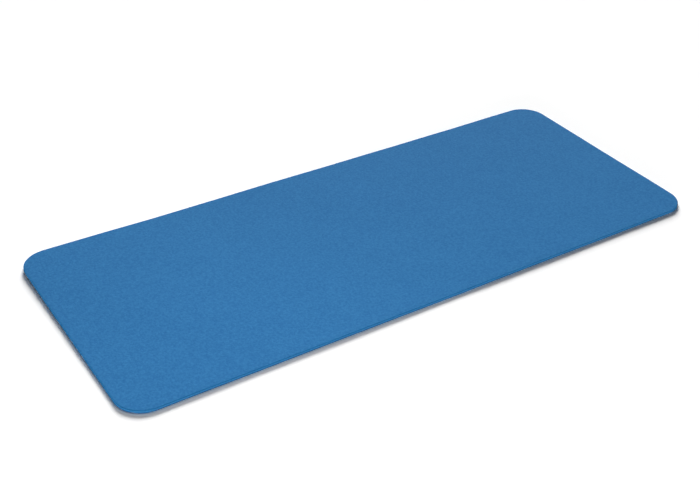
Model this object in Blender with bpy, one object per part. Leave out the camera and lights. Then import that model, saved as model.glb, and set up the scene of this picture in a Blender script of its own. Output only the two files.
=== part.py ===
"""A thin, flexible exercise mat with rounded corners, die-cut from one laminated foam sheet.

Metres, +Z up. The mat lies flat: its long side is along X, its short side along Y, and the origin is
at the middle of its underside. It is a laminate of five layers with one outline, because all of them
are cut by the same die. From the floor up they are a grip skin, a foam layer, a scrim, a second foam
layer and the top skin. A thin bond line lies between each layer and the next.
"""

import bpy

# The cut outline, which every layer shares.
LENGTH = 0.700
WIDTH = 0.300
CORNER_RADIUS = 0.030

# Thickness of each layer. With the four bond lines they add up to 3.0 mm.
BOTTOM_SKIN_THICKNESS = 0.0004
LOWER_FOAM_THICKNESS = 0.00075
SCRIM_THICKNESS = 0.0003
UPPER_FOAM_THICKNESS = 0.00075
TOP_SKIN_THICKNESS = 0.0004
BOND_LINE = 0.0001

# A quarter circle as one Bezier segment has handles this share of its radius long.
ARC_HANDLE = 0.5523
SEGMENTS_PER_CORNER = 16

BLUE = (0.040, 0.181, 0.402, 1.0)
EDGE_BLUE = (0.030, 0.165, 0.385, 1.0)
YARN_WHITE = (0.72, 0.73, 0.72, 1.0)

# Each layer from the floor up: its name, thickness, colour and roughness.
LAYERS = (
    ("bottom_skin", BOTTOM_SKIN_THICKNESS, BLUE, 0.80),
    ("lower_foam_layer", LOWER_FOAM_THICKNESS, EDGE_BLUE, 0.90),
    ("reinforcing_scrim", SCRIM_THICKNESS, YARN_WHITE, 0.85),
    ("upper_foam_layer", UPPER_FOAM_THICKNESS, EDGE_BLUE, 0.90),
    ("top_skin", TOP_SKIN_THICKNESS, BLUE, 0.75),
)


def clear_scene():
    for obj in list(bpy.data.objects):
        bpy.data.objects.remove(obj, do_unlink=True)


def material(name, colour, roughness):
    made = bpy.data.materials.new(name)
    made.use_nodes = True
    shader = made.node_tree.nodes["Principled BSDF"]
    shader.inputs["Base Color"].default_value = colour
    shader.inputs["Roughness"].default_value = roughness
    shader.inputs["Metallic"].default_value = 0.0
    return made


def corner_points():
    """Each point where a side meets a corner's arc, anticlockwise, with the offsets of its two handles."""
    x, y = LENGTH / 2, WIDTH / 2
    r = CORNER_RADIUS
    pull = ARC_HANDLE * r
    still = (0.0, 0.0)
    return (
        ((x, -y + r), (0.0, -pull), still),
        ((x, y - r), still, (0.0, pull)),
        ((x - r, y), (pull, 0.0), still),
        ((-x + r, y), still, (-pull, 0.0)),
        ((-x, y - r), (0.0, pull), still),
        ((-x, -y + r), still, (0.0, -pull)),
        ((-x + r, -y), (-pull, 0.0), still),
        ((x - r, -y), still, (pull, 0.0)),
    )


def cut_outline(name, thickness):
    """The die-cut outline as a filled flat curve, this thick about its own mid-plane."""
    curve = bpy.data.curves.new(name, "CURVE")
    curve.dimensions = "2D"
    curve.fill_mode = "BOTH"
    curve.extrude = thickness / 2
    curve.resolution_u = SEGMENTS_PER_CORNER
    spline = curve.splines.new("BEZIER")
    points = corner_points()
    spline.bezier_points.add(len(points) - 1)
    for point, ((x, y), before, after) in zip(spline.bezier_points, points):
        point.handle_left_type = "FREE"
        point.handle_right_type = "FREE"
        point.co = (x, y, 0.0)
        point.handle_left = (x + before[0], y + before[1], 0.0)
        point.handle_right = (x + after[0], y + after[1], 0.0)
    spline.use_cyclic_u = True
    return curve


def build():
    clear_scene()
    mat_parts = bpy.data.collections.new("balance_mat")
    bpy.context.scene.collection.children.link(mat_parts)
    underside = 0.0
    for name, thickness, colour, roughness in LAYERS:
        layer = bpy.data.objects.new(name, cut_outline(name, thickness))
        layer.location.z = underside + thickness / 2
        layer.data.materials.append(material(name, colour, roughness))
        mat_parts.objects.link(layer)
        underside += thickness + BOND_LINE


build()
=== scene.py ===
import math

import bpy
import numpy as np
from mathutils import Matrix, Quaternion, Vector

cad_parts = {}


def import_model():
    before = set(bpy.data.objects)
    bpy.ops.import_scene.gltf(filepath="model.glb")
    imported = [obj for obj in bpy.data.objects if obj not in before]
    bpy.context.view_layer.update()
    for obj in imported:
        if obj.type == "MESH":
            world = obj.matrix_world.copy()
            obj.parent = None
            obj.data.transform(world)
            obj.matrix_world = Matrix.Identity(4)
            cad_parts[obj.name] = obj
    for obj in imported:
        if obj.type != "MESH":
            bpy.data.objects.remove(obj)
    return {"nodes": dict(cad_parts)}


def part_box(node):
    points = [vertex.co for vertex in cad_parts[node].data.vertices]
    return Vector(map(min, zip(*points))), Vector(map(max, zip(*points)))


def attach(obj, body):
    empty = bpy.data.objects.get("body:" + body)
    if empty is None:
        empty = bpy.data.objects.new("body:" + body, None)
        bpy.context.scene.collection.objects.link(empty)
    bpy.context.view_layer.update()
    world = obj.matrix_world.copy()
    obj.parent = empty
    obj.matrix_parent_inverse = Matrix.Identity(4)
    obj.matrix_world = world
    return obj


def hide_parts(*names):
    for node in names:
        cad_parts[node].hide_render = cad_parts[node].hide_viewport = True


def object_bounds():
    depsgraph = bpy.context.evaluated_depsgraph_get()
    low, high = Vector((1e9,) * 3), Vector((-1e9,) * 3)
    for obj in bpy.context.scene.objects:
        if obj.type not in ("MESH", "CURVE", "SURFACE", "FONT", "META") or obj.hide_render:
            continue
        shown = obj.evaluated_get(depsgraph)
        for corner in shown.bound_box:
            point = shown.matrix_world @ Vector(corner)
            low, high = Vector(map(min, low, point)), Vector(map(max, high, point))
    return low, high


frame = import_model()
cad_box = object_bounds()

MM = 0.001

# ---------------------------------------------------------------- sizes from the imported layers
LOW, HIGH = cad_box
HALF_LENGTH = (HIGH.x - LOW.x) / 2
HALF_WIDTH = (HIGH.y - LOW.y) / 2
ON_EDGE = 0.01 * MM


def corner_radius():
    """The cut's corner radius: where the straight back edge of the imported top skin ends."""
    places = np.array([v.co for v in frame["nodes"]["top_skin"].data.vertices])
    straight = places[places[:, 1] > HALF_WIDTH - ON_EDGE]
    return HALF_LENGTH - straight[:, 0].max()


RADIUS = corner_radius()


def heights(node):
    """The lowest and highest level of a packed layer."""
    low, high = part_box(node)
    return low.z, high.z


BOTTOM_SKIN = heights("bottom_skin")
LOWER_FOAM = heights("lower_foam_layer")
SCRIM = heights("reinforcing_scrim")
UPPER_FOAM = heights("upper_foam_layer")
TOP_SKIN = heights("top_skin")
GRIP_BOND = (BOTTOM_SKIN[1] + LOWER_FOAM[0]) / 2
SCRIM_PLANE = (SCRIM[0] + SCRIM[1]) / 2
TOP_BOND = (UPPER_FOAM[1] + TOP_SKIN[0]) / 2

# ---------------------------------------------------------------- how the mat lies
# Each corner's place as signs of X and Y, how far it curls off the floor, and how far in that reaches.
CURLS = (
    ((-1, 1), 1.1 * MM, 110 * MM),
    ((1, -1), 0.3 * MM, 90 * MM),
    ((1, 1), 0.4 * MM, 90 * MM),
    ((-1, -1), 0.2 * MM, 80 * MM),
)
# Long, shallow waves: height, length along X, length along Y and phase of each.
WAVES = (
    (0.30 * MM, 0.31, 0.52, 0.4),
    (0.20 * MM, -0.19, 0.27, 2.1),
    (0.10 * MM, 0.11, 0.16, 4.0),
    (0.06 * MM, -0.083, 0.12, 1.2),
)


def rise(x, y):
    """The height of the underside over the floor. It is never negative."""
    z = np.zeros_like(x)
    for (side_x, side_y), height, reach in CURLS:
        away = np.hypot(x - side_x * HALF_LENGTH, y - side_y * HALF_WIDTH)
        z += height * np.exp(-((away / reach) ** 2))
    for height, along_x, along_y, phase in WAVES:
        z += height * (1 + np.sin(2 * math.pi * (x / along_x + y / along_y) + phase)) / 2
    return z


# ---------------------------------------------------------------- rings of points
# Steps along half a short side, a corner and a long side.
SHORT_STEPS, CORNER_STEPS, LONG_STEPS = 24, 16, 128
BACK_START = SHORT_STEPS + CORNER_STEPS
BACK_END = BACK_START + LONG_STEPS
HALF_LOOP = BACK_END + BACK_START
LOOP = 2 * HALF_LOOP
# Half the width of the innermost ring.
INNER_HALF_WIDTH = 6 * MM
TOP_FACE, WALL, UNDERSIDE = 0, 1, 2


def loop(inset):
    """The cut outline drawn in by this much at its straight sides.

    It runs anticlockwise from the middle of the right side. The whole figure shrinks towards the
    mat's middle line, so its corners never close up."""
    half_x = HALF_LENGTH - inset
    half_y = HALF_WIDTH - inset
    radius = RADIUS * half_y / HALF_WIDTH
    centre_x, centre_y = half_x - radius, half_y - radius
    up = np.linspace(0, centre_y, SHORT_STEPS, endpoint=False)
    turn = np.linspace(0, math.pi / 2, CORNER_STEPS, endpoint=False)
    along = np.linspace(centre_x, -centre_x, LONG_STEPS, endpoint=False)
    down = np.linspace(centre_y, 0, SHORT_STEPS + 1)
    right = np.stack([np.full_like(up, half_x), up], 1)
    first = np.stack([centre_x + radius * np.cos(turn), centre_y + radius * np.sin(turn)], 1)
    back = np.stack([along, np.full_like(along, half_y)], 1)
    second = np.stack([-centre_x - radius * np.sin(turn), centre_y + radius * np.cos(turn)], 1)
    left = np.stack([np.full_like(down, -half_x), down], 1)
    half = np.concatenate([right, first, back, second, left])
    mirrored = half[-2:0:-1] * (1, -1)
    return np.concatenate([half, mirrored])


def spread_insets(near_edge, step):
    """Insets from the edge to the innermost ring: those given, then one at each step."""
    last = HALF_WIDTH - INNER_HALF_WIDTH
    count = round((last - near_edge[-1]) / step)
    return list(near_edge) + list(np.linspace(near_edge[-1], last, count + 1)[1:])


def ring_faces(ring):
    """The band of quads from this ring of points to the next."""
    here = ring * LOOP + np.arange(LOOP)
    after = ring * LOOP + (np.arange(LOOP) + 1) % LOOP
    return np.stack([here, here + LOOP, after + LOOP, after], 1).tolist()


def cap_faces(ring, right_hub, left_hub):
    """Closes an innermost ring with a strip of faces along the middle line and a fan at each end.

    Each fan turns round a hub, which is also a corner of the strip's last face there."""
    start = ring * LOOP
    strip = []
    for i in range(BACK_START, BACK_END):
        strip.append([start + i, start + i + 1, start + LOOP - i - 1, start + LOOP - i])
    strip[0].append(right_hub)
    strip[-1].insert(2, left_hub)
    fans = []
    for i in range(-BACK_START, BACK_START):
        fans.append([right_hub, start + i % LOOP, start + (i + 1) % LOOP])
        left = HALF_LOOP + i
        fans.append([left_hub, start + left, start + left + 1])
    return strip + fans


def layer_mesh(name, top, wall, bottom, main_face):
    """A closed sheet made of rings, each an (inset, level) pair.

    top and bottom run from the edge to the middle, and wall runs down between them."""
    rings = top[::-1] + wall + bottom
    points, insets = [], []
    for inset, level in rings:
        xy = loop(inset)
        points.append(np.column_stack([xy, rise(xy[:, 0], xy[:, 1]) + level]))
        insets.append(np.full(LOOP, inset))
    for inset, level in (rings[0], rings[-1]):
        hub_x = HALF_LENGTH - inset - RADIUS * (HALF_WIDTH - inset) / HALF_WIDTH
        x, y = np.array([hub_x, -hub_x]), np.zeros(2)
        points.append(np.column_stack([x, y, rise(x, y) + level]))
        insets.append(np.full(2, inset))
    faces, kinds = [], []
    first_wall, first_under = len(top) - 1, len(top) + len(wall)
    for ring in range(len(rings) - 1):
        faces += ring_faces(ring)
        kind = TOP_FACE if ring < first_wall else WALL if ring < first_under else UNDERSIDE
        kinds += [kind] * LOOP
    hubs = len(rings) * LOOP
    upper_cap = cap_faces(0, hubs, hubs + 1)
    lower_cap = [face[::-1] for face in cap_faces(len(rings) - 1, hubs + 2, hubs + 3)]
    faces += upper_cap + lower_cap
    kinds += [TOP_FACE] * len(upper_cap) + [UNDERSIDE] * len(lower_cap)
    mesh = bpy.data.meshes.new(name)
    mesh.from_pydata(np.concatenate(points).tolist(), [], faces)
    mesh.update()
    edge = mesh.attributes.new("edge_distance", "FLOAT", "POINT")
    edge.data.foreach_set("value", (np.concatenate(insets) / MM).astype(np.float32))
    add_map(mesh, np.array(kinds), first_wall, first_under, main_face)
    return mesh


# Where each face lies on the square map: its lower border and its height.
MAIN_BAND, OTHER_BAND, WALL_BAND = (0.01, 0.56), (0.58, 0.25), (0.84, 0.15)
MAP_SIDE = 0.01
WALL_ROWS = 8
ROW_FILL = 0.8


def add_map(mesh, kinds, first_wall, first_under, main_face):
    """A flat map: the seen face large, the other face small, and the wall cut into rows."""
    count = len(mesh.loops)
    corner = np.empty(count, np.int32)
    mesh.loops.foreach_get("vertex_index", corner)
    places = np.empty(len(mesh.vertices) * 3, np.float32)
    mesh.vertices.foreach_get("co", places)
    places = places.reshape(-1, 3)[corner]
    sizes = np.empty(len(mesh.polygons), np.int32)
    mesh.polygons.foreach_get("loop_total", sizes)
    face = np.repeat(np.arange(len(sizes)), sizes)
    kind = kinds[face]
    across = (places[:, 0] + HALF_LENGTH) / (2 * HALF_LENGTH)
    up = (places[:, 1] + HALF_WIDTH) / (2 * HALF_WIDTH)
    low = np.where(kind == main_face, MAIN_BAND[0], OTHER_BAND[0])
    height = np.where(kind == main_face, MAIN_BAND[1], OTHER_BAND[1])
    up = low + height * up
    wall = kind == WALL
    per_row = LOOP // WALL_ROWS
    row = (face % LOOP) // per_row
    step = (corner % LOOP - row * per_row) % LOOP
    down = (corner // LOOP - first_wall) / (first_under - first_wall)
    row_height = WALL_BAND[1] / WALL_ROWS
    across[wall] = (step / per_row)[wall]
    up[wall] = (WALL_BAND[0] + row_height * (row + (1 - ROW_FILL) / 2 + ROW_FILL * down))[wall]
    uv = np.column_stack([MAP_SIDE + (1 - 2 * MAP_SIDE) * across, up])
    layer = mesh.uv_layers.new(name="OFBake")
    layer.uv.foreach_set("vector", uv.astype(np.float32).ravel())


def show(name, mesh, material, node):
    piece = bpy.data.objects.new(name, mesh)
    bpy.context.scene.collection.objects.link(piece)
    mesh.materials.append(material)
    mesh.shade_smooth()
    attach(piece, "root")
    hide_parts(node)
    return piece


# ---------------------------------------------------------------- material helpers
NOISE_MIDDLE = (0.3, 0.7)


class Nodes:
    """A material's node tree, with short calls for the nodes that are used often."""

    # Where a Mix node keeps its share, its two colours and its mixed colour.
    SHARE, FIRST, SECOND, MIXED = 0, 6, 7, 2

    def __init__(self, name):
        self.material = bpy.data.materials.new(name)
        self.material.use_nodes = True
        self.tree = self.material.node_tree
        self.shader = self.tree.nodes["Principled BSDF"]
        self.place = self.tree.nodes.new("ShaderNodeTexCoord").outputs["Object"]

    def new(self, kind, **settings):
        node = self.tree.nodes.new(kind)
        for key, value in settings.items():
            setattr(node, key, value)
        return node

    def link(self, source, target):
        self.tree.links.new(source, target)

    def flattened(self, times):
        """The place on the object, with what is drawn there this many times flatter than wide."""
        node = self.new("ShaderNodeMapping")
        node.inputs["Scale"].default_value = (1.0, 1.0, times)
        self.link(self.place, node.inputs["Vector"])
        return node.outputs["Vector"]

    def noise(self, scale, detail=2.0, roughness=0.5, vector=None):
        node = self.new("ShaderNodeTexNoise")
        node.inputs["Scale"].default_value = scale
        node.inputs["Detail"].default_value = detail
        node.inputs["Roughness"].default_value = roughness
        self.link(vector or self.place, node.inputs["Vector"])
        return node.outputs["Fac"]

    def cells(self, scale, feature="F1"):
        node = self.new("ShaderNodeTexVoronoi", feature=feature)
        node.inputs["Scale"].default_value = scale
        self.link(self.place, node.inputs["Vector"])
        return node.outputs["Distance"]

    def sum(self, *terms):
        """The sum of some sockets, each given with the factor it counts for."""
        total = None
        for socket, factor in terms:
            node = self.new("ShaderNodeMath", operation="MULTIPLY_ADD")
            self.link(socket, node.inputs[0])
            node.inputs[1].default_value = factor
            node.inputs[2].default_value = 0.0
            if total is not None:
                self.link(total, node.inputs[2])
            total = node.outputs["Value"]
        return total

    def range(self, socket, low, high, to_low=0.0, to_high=1.0):
        """Maps low..high to to_low..to_high, and holds what lies outside at the nearer end."""
        node = self.new("ShaderNodeMapRange")
        self.link(socket, node.inputs["Value"])
        node.inputs["From Min"].default_value = low
        node.inputs["From Max"].default_value = high
        node.inputs["To Min"].default_value = to_low
        node.inputs["To Max"].default_value = to_high
        return node.outputs["Result"]

    def mix(self, share, first, second):
        """Colour mix. first and second are sockets or colours."""
        node = self.new("ShaderNodeMix", data_type="RGBA")
        for value, key in ((share, self.SHARE), (first, self.FIRST), (second, self.SECOND)):
            if isinstance(value, bpy.types.NodeSocket):
                self.link(value, node.inputs[key])
            else:
                node.inputs[key].default_value = value
        return node.outputs[self.MIXED]

    def attribute(self, name):
        return self.new("ShaderNodeAttribute", attribute_name=name).outputs["Fac"]

    def bump(self, *layers):
        """Bump maps one over the other, each given as a height socket and a depth in metres."""
        normal = None
        for height, depth in layers:
            node = self.new("ShaderNodeBump")
            node.inputs["Strength"].default_value = 1.0
            node.inputs["Distance"].default_value = depth
            self.link(height, node.inputs["Height"])
            if normal is not None:
                self.link(normal, node.inputs["Normal"])
            normal = node.outputs["Normal"]
        self.link(normal, self.shader.inputs["Normal"])

    def colour(self, socket):
        self.link(socket, self.shader.inputs["Base Color"])

    def rough(self, socket, low, high):
        """Roughness from low to high, as a noise socket goes over the middle of its range."""
        self.link(self.range(socket, *NOISE_MIDDLE, low, high), self.shader.inputs["Roughness"])

    def shine(self, level):
        self.shader.inputs["Specular IOR Level"].default_value = level


def blue(red, green, blue_part):
    return (red, green, blue_part, 1.0)


# ---------------------------------------------------------------- materials
SKIN_LIGHT = blue(0.037, 0.192, 0.427)
SKIN_DARK = blue(0.023, 0.142, 0.357)
RIM_BLUE = blue(0.008, 0.150, 0.372)
FOAM_LIGHT = blue(0.034, 0.205, 0.455)
FOAM_DARK = blue(0.020, 0.158, 0.385)
YARN_LIGHT = blue(0.120, 0.280, 0.480)
YARN_DARK = blue(0.040, 0.180, 0.390)

# The skins' pattern: how many of each mark lie along a metre.
PEBBLES_PER_M = 480.0
WANDER_PER_M = 0.82 * PEBBLES_PER_M
PITS_PER_M = 1.25 * PEBBLES_PER_M
FLECKS_PER_M = 0.45 * PEBBLES_PER_M
MOTTLE_PER_M = 28.0
CLOUDS_PER_M = 5.5
SKIN_TONES = (0.645, 1.145)
FLECK_REACH, FLECK_SHARE = 0.16, 0.25
# Distances from the cut edge, in millimetres, where the rim's blue begins to fade and where it ends.
RIM_FADE = (0.3, 1.3)
TOP_RELIEF, GRIP_RELIEF = 0.14 * MM, 0.20 * MM
TOP_RIM_SHARE, GRIP_RIM_SHARE = 0.6, 0.9

# The foam's bubbles in two sizes, and streaks that lie along the cut.
BUBBLES_PER_M, BIG_BUBBLES_PER_M, STREAKS_PER_M = 2600.0, 1100.0, 700.0
STREAK_FLATNESS = 6.0
FOAM_TONES = (0.35, 0.95)
BUBBLE_DEPTH, BIG_BUBBLE_DEPTH = 0.08 * MM, 0.12 * MM

FILAMENTS_PER_M, FUZZ_PER_M = 900.0, 3200.0
FUZZ_DEPTH = 0.03 * MM


def skin_material(name, relief, rim_share):
    """Matte vinyl skin with a fine pressed grain, and a purer blue where the die pressed its rim."""
    n = Nodes(name)
    wander = n.noise(WANDER_PER_M, detail=1.5, roughness=0.6)
    pebbles = n.cells(PEBBLES_PER_M, "SMOOTH_F1")
    pits = n.noise(PITS_PER_M, detail=2.0, roughness=0.6)
    mottle = n.noise(MOTTLE_PER_M, detail=2.0)
    cloud = n.noise(CLOUDS_PER_M, detail=1.0)
    height = n.sum((pebbles, -0.9), (pits, 0.7), (wander, 0.7))
    tone = n.sum((pits, 0.45), (wander, 1.10), (mottle, 0.12), (cloud, 0.12))
    body = n.mix(n.range(tone, *SKIN_TONES), SKIN_DARK, SKIN_LIGHT)
    flecks = n.range(n.cells(FLECKS_PER_M), 0.0, FLECK_REACH, FLECK_SHARE, 0.0)
    body = n.mix(flecks, body, SKIN_DARK)
    rim = n.range(n.attribute("edge_distance"), *RIM_FADE, rim_share, 0.0)
    n.colour(n.mix(rim, body, RIM_BLUE))
    n.rough(pits, low=0.86, high=0.98)
    n.bump((height, relief))
    n.shine(0.02)
    return n.material


def foam_material(name):
    """The knife-cut side of blue closed-cell foam."""
    n = Nodes(name)
    small = n.cells(BUBBLES_PER_M)
    large = n.cells(BIG_BUBBLES_PER_M)
    streak = n.noise(STREAKS_PER_M, vector=n.flattened(STREAK_FLATNESS))
    tone = n.sum((small, 0.6), (large, 0.35), (streak, 0.5))
    n.colour(n.mix(n.range(tone, *FOAM_TONES), FOAM_DARK, FOAM_LIGHT))
    n.rough(streak, low=0.78, high=0.92)
    n.bump((large, BIG_BUBBLE_DEPTH), (small, BUBBLE_DEPTH))
    n.shine(0.15)
    return n.material


def yarn_material(name):
    """Flat polyester yarn: pale and dark filaments mixed, tinted by the foam round them."""
    n = Nodes(name)
    filaments = n.noise(FILAMENTS_PER_M, detail=2.0, roughness=0.6)
    fuzz = n.noise(FUZZ_PER_M, detail=1.0)
    n.colour(n.mix(n.range(filaments, *NOISE_MIDDLE), YARN_DARK, YARN_LIGHT))
    n.rough(fuzz, low=0.6, high=0.8)
    n.bump((fuzz, FUZZ_DEPTH))
    n.shine(0.2)
    return n.material


# ---------------------------------------------------------------- the layers
def at_level(insets, level):
    return [(inset, level) for inset in insets]


EDGE_PRESS = 0.04 * MM
PRESS_REACH = 1.3 * MM
# Insets of a seen face's rings near its edge, and the step between those further in.
SEEN_INSETS = [0.9 * MM, 1.5 * MM, 2.4 * MM, 4 * MM, 7 * MM]
SEEN_STEP = 4.5 * MM
# The same for a face that lies on another layer.
INNER_INSETS = [0.5 * MM, 6 * MM]
INNER_STEP = 12 * MM


def pressed(insets, level, away):
    """A face that the die pressed in along its edge.

    away is 1 for a top face and -1 for an underside."""
    return [(inset, level - away * EDGE_PRESS * math.exp(-inset / PRESS_REACH)) for inset in insets]


def top_skin():
    """The upper face, with its edge rolled over where the die pressed it."""
    seen = spread_insets([0.45 * MM] + SEEN_INSETS, SEEN_STEP)
    wall = [
        (0.24 * MM, TOP_SKIN[1] - 0.11 * MM),
        (0.10 * MM, TOP_SKIN[1] - 0.17 * MM),
        (0.02 * MM, TOP_SKIN[1] - 0.26 * MM),
        (0.02 * MM, TOP_BOND + 0.03 * MM),
        (0.06 * MM, TOP_BOND),
    ]
    top = pressed(seen, TOP_SKIN[1], 1)
    bottom = at_level(spread_insets(INNER_INSETS, INNER_STEP), TOP_BOND)
    mesh = layer_mesh("top_skin_face", top, wall, bottom, TOP_FACE)
    material = skin_material("blue_vinyl_skin", TOP_RELIEF, TOP_RIM_SHARE)
    return show("top_skin_face", mesh, material, "top_skin")


def foam_layer(name, node, high, low, material):
    """One foam layer. Its cut side bows in a little between the skins."""
    middle = (high + low) / 2
    wall = [
        (0.07 * MM, high - 0.02 * MM),
        (0.10 * MM, high - 0.15 * MM),
        (0.13 * MM, middle),
        (0.10 * MM, low + 0.15 * MM),
        (0.07 * MM, low + 0.02 * MM),
    ]
    insets = spread_insets([0.2 * MM, 6 * MM], INNER_STEP)
    mesh = layer_mesh(name, at_level(insets, high), wall, at_level(insets, low), TOP_FACE)
    return show(name, mesh, material, node)


def bottom_skin():
    """The grip face, nearly square at its cut edge."""
    seen = spread_insets([0.25 * MM] + SEEN_INSETS, SEEN_STEP)
    wall = [
        (0.06 * MM, GRIP_BOND),
        (0.02 * MM, GRIP_BOND - 0.03 * MM),
        (0.02 * MM, BOTTOM_SKIN[0] + 0.20 * MM),
        (0.10 * MM, BOTTOM_SKIN[0] + 0.11 * MM),
    ]
    top = at_level(spread_insets(INNER_INSETS, INNER_STEP), GRIP_BOND)
    bottom = pressed(seen, BOTTOM_SKIN[0], -1)
    mesh = layer_mesh("bottom_skin_face", top, wall, bottom, UNDERSIDE)
    material = skin_material("blue_grip_skin", GRIP_RELIEF, GRIP_RIM_SHARE)
    return show("bottom_skin_face", mesh, material, "bottom_skin")


YARN_PITCH = 2.5 * MM
YARN_WIDTH = 1.0 * MM
YARN_STEP = 20 * MM
YARN_SET_IN = 0.04 * MM


def half_reach(across, half_across, half_along):
    """How far the outline reaches along one axis, at this distance across it."""
    into_corner = np.maximum(np.abs(across) - (half_across - RADIUS), 0)
    return half_along - RADIUS + np.sqrt(RADIUS**2 - into_corner**2)


def yarn(places, faces, start, end, low, high):
    """One flat yarn between two points in plan, as a closed strip that follows the mat."""
    start, end = np.array(start), np.array(end)
    run = end - start
    length = np.hypot(*run)
    side = np.array([-run[1], run[0]]) / length * YARN_WIDTH / 2
    count = max(2, round(length / YARN_STEP) + 1)
    along = start + np.linspace(0, 1, count)[:, None] * run
    lift = rise(along[:, 0], along[:, 1])
    first = len(places)
    for point, z in zip(along, lift):
        for offset, level in ((side, low), (-side, low), (-side, high), (side, high)):
            places.append((point[0] + offset[0], point[1] + offset[1], z + level))
    for k in range(count - 1):
        a = first + 4 * k
        for i in range(4):
            j = (i + 1) % 4
            faces.append((a + 4 + i, a + 4 + j, a + j, a + i))
    last = first + 4 * (count - 1)
    faces.append((first, first + 1, first + 2, first + 3))
    faces.append((last + 3, last + 2, last + 1, last))


def scrim():
    """The laid scrim: lengthwise yarns, with crosswise yarns bonded on top of them."""
    places, faces = [], []
    rows = int((2 * HALF_WIDTH - YARN_WIDTH) / YARN_PITCH)
    for y in (np.arange(rows) - (rows - 1) / 2) * YARN_PITCH:
        reach = half_reach(y, HALF_WIDTH, HALF_LENGTH) - YARN_SET_IN
        yarn(places, faces, (-reach, y), (reach, y), SCRIM[0], SCRIM_PLANE)
    columns = int((2 * HALF_LENGTH - YARN_WIDTH) / YARN_PITCH)
    for x in (np.arange(columns) - (columns - 1) / 2) * YARN_PITCH:
        reach = half_reach(x, HALF_LENGTH, HALF_WIDTH) - YARN_SET_IN
        yarn(places, faces, (x, reach), (x, -reach), SCRIM_PLANE, SCRIM[1])
    mesh = bpy.data.meshes.new("scrim_yarns")
    mesh.from_pydata(places, [], faces)
    mesh.update()
    piece = show("scrim_yarns", mesh, yarn_material("polyester_yarn"), "reinforcing_scrim")
    mesh.shade_flat()
    return piece


# ---------------------------------------------------------------- floor, light and camera
# The white with which the floor gives light back to the mat, and the one it is drawn with.
FLOOR_WHITE, FLOOR_SEEN = 0.90, 1.14
FLOOR_REACH = 40.0
FLOOR_DROP = 0.05 * MM


def most(tree, first, second):
    """The larger of two sockets."""
    node = tree.nodes.new("ShaderNodeMath")
    node.operation = "MAXIMUM"
    tree.links.new(first, node.inputs[0])
    tree.links.new(second, node.inputs[1])
    return node.outputs["Value"]


def seen_level(tree, unseen, seen):
    """One value for rays that show the background, and another for those that only light the object."""
    path = tree.nodes.new("ShaderNodeLightPath")
    shows = most(tree, path.outputs["Is Camera Ray"], path.outputs["Is Glossy Ray"])
    shows = most(tree, shows, path.outputs["Is Transmission Ray"])
    level = tree.nodes.new("ShaderNodeMapRange")
    level.inputs["To Min"].default_value = unseen
    level.inputs["To Max"].default_value = seen
    tree.links.new(shows, level.inputs["Value"])
    return level.outputs["Result"]


def floor():
    """A wide white floor, drawn white where the light falls freely. The mat's shadow stays on it."""
    mesh = bpy.data.meshes.new("studio_floor")
    corners = [(x * FLOOR_REACH, y * FLOOR_REACH, 0) for x, y in ((-1, -1), (1, -1), (1, 1), (-1, 1))]
    mesh.from_pydata(corners, [], [(0, 1, 2, 3)])
    plane = bpy.data.objects.new("studio_floor", mesh)
    bpy.context.scene.collection.objects.link(plane)
    plane.location.z = -FLOOR_DROP
    material = bpy.data.materials.new("studio_floor_white")
    material.use_nodes = True
    tree = material.node_tree
    tree.nodes.remove(tree.nodes["Principled BSDF"])
    matte = tree.nodes.new("ShaderNodeBsdfDiffuse")
    tree.links.new(seen_level(tree, FLOOR_WHITE, FLOOR_SEEN), matte.inputs["Color"])
    tree.links.new(matte.outputs["BSDF"], tree.nodes["Material Output"].inputs["Surface"])
    mesh.materials.append(material)


def direction(azimuth, elevation):
    """The way from the mat to an eye or a lamp. Azimuth 0 is in front of it, on the -Y side."""
    turn, climb = math.radians(azimuth), math.radians(elevation)
    return Vector((
        math.sin(turn) * math.cos(climb),
        -math.cos(turn) * math.cos(climb),
        math.sin(climb),
    ))


def aim(thing, toward, roll=0.0):
    """Turns a lamp or camera to look along this direction, then rolls it about its own axis."""
    thing.rotation_mode = "QUATERNION"
    level = Vector(toward).to_track_quat("-Z", "Y")
    thing.rotation_quaternion = level @ Quaternion((0, 0, 1), math.radians(roll))


def add_lamp(name, kind):
    lamp = bpy.data.objects.new(name, bpy.data.lights.new(name, kind))
    bpy.context.scene.collection.objects.link(lamp)
    return lamp


def distant_light(name, azimuth, elevation, width, floor_share):
    """A far softbox, this many degrees wide. floor_share is its part of a white floor's brightness."""
    lamp = add_lamp(name, "SUN")
    lamp.data.angle = math.radians(width)
    lamp.data.energy = floor_share * math.pi / math.sin(math.radians(elevation))
    aim(lamp, -direction(azimuth, elevation))


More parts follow.
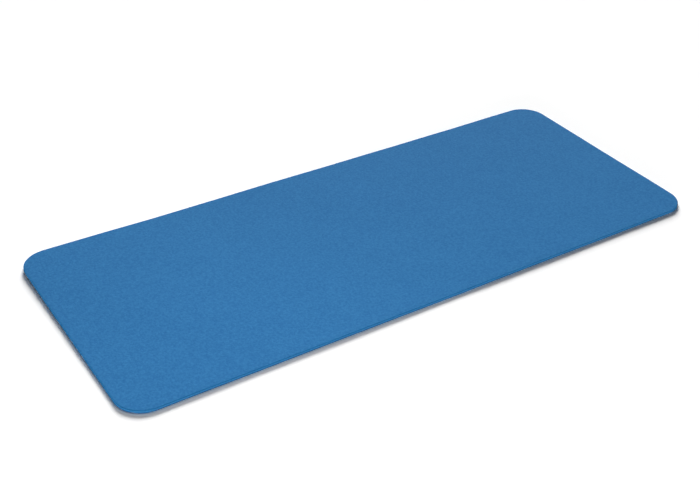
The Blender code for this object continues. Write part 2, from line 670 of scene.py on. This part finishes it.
def near_light(name, place, size, floor_share):
    """A softbox that looks straight down. floor_share is about what it adds to the floor under it."""
    lamp = add_lamp(name, "AREA")
    lamp.data.shape = "SQUARE"
    lamp.data.size = size
    lamp.data.energy = floor_share * (math.pi * place[2]) ** 2
    lamp.location = place
    lamp.visible_camera = False
    aim(lamp, (0, 0, -1))


DOME = 0.04


def world():
    """A white backdrop for the rays that show it, and a weak even dome for the light it gives."""
    made = bpy.data.worlds.new("studio")
    made.use_nodes = True
    bpy.context.scene.world = made
    background = made.node_tree.nodes["Background"]
    made.node_tree.links.new(seen_level(made.node_tree, DOME, 1.0), background.inputs["Strength"])
    background.inputs["Color"].default_value = (1, 1, 1, 1)


def lights():
    distant_light("back_softbox", azimuth=148, elevation=19, width=28, floor_share=0.81)
    distant_light("front_fill", azimuth=-40, elevation=2.6, width=5, floor_share=0.040)
    near_light("overhead_softbox", place=(-0.21, -0.15, 0.36), size=0.22, floor_share=0.235)


# The lens and the sensor's width in millimetres, as on a full-frame camera.
LENS, SENSOR_WIDTH = 60.1714, 36.0
# Where the camera stands round the point it looks at, in degrees and metres.
AZIMUTH, ELEVATION, DISTANCE, ROLL = -34.98, 33.63, 1.286, 1.73
LOOK_AT = Vector((0.0199, -0.0534, 0.0))
# How far the frame is cut to the left of the lens's axis, as a share of its width.
FRAMING_SHIFT = 0.0857143
NEAREST, FARTHEST = 0.05, 100.0


def camera():
    """The photograph's view."""
    data = bpy.data.cameras.new("camera")
    data.sensor_width = SENSOR_WIDTH
    data.lens = LENS
    data.shift_x = -FRAMING_SHIFT
    data.clip_start, data.clip_end = NEAREST, FARTHEST
    eye = bpy.data.objects.new("camera", data)
    bpy.context.scene.collection.objects.link(eye)
    back = direction(AZIMUTH, ELEVATION)
    eye.location = LOOK_AT + back * DISTANCE
    aim(eye, -back, ROLL)
    bpy.context.scene.camera = eye


# ---------------------------------------------------------------- the whole
top = top_skin()
foam = foam_material("blue_foam_cut")
upper = foam_layer("upper_foam", "upper_foam_layer", TOP_BOND, SCRIM_PLANE, foam)
yarns = scrim()
lower = foam_layer("lower_foam", "lower_foam_layer", SCRIM_PLANE, GRIP_BOND, foam)
grip = bottom_skin()

floor()
world()
lights()
camera()
bpy.context.scene.view_settings.view_transform = "Standard"
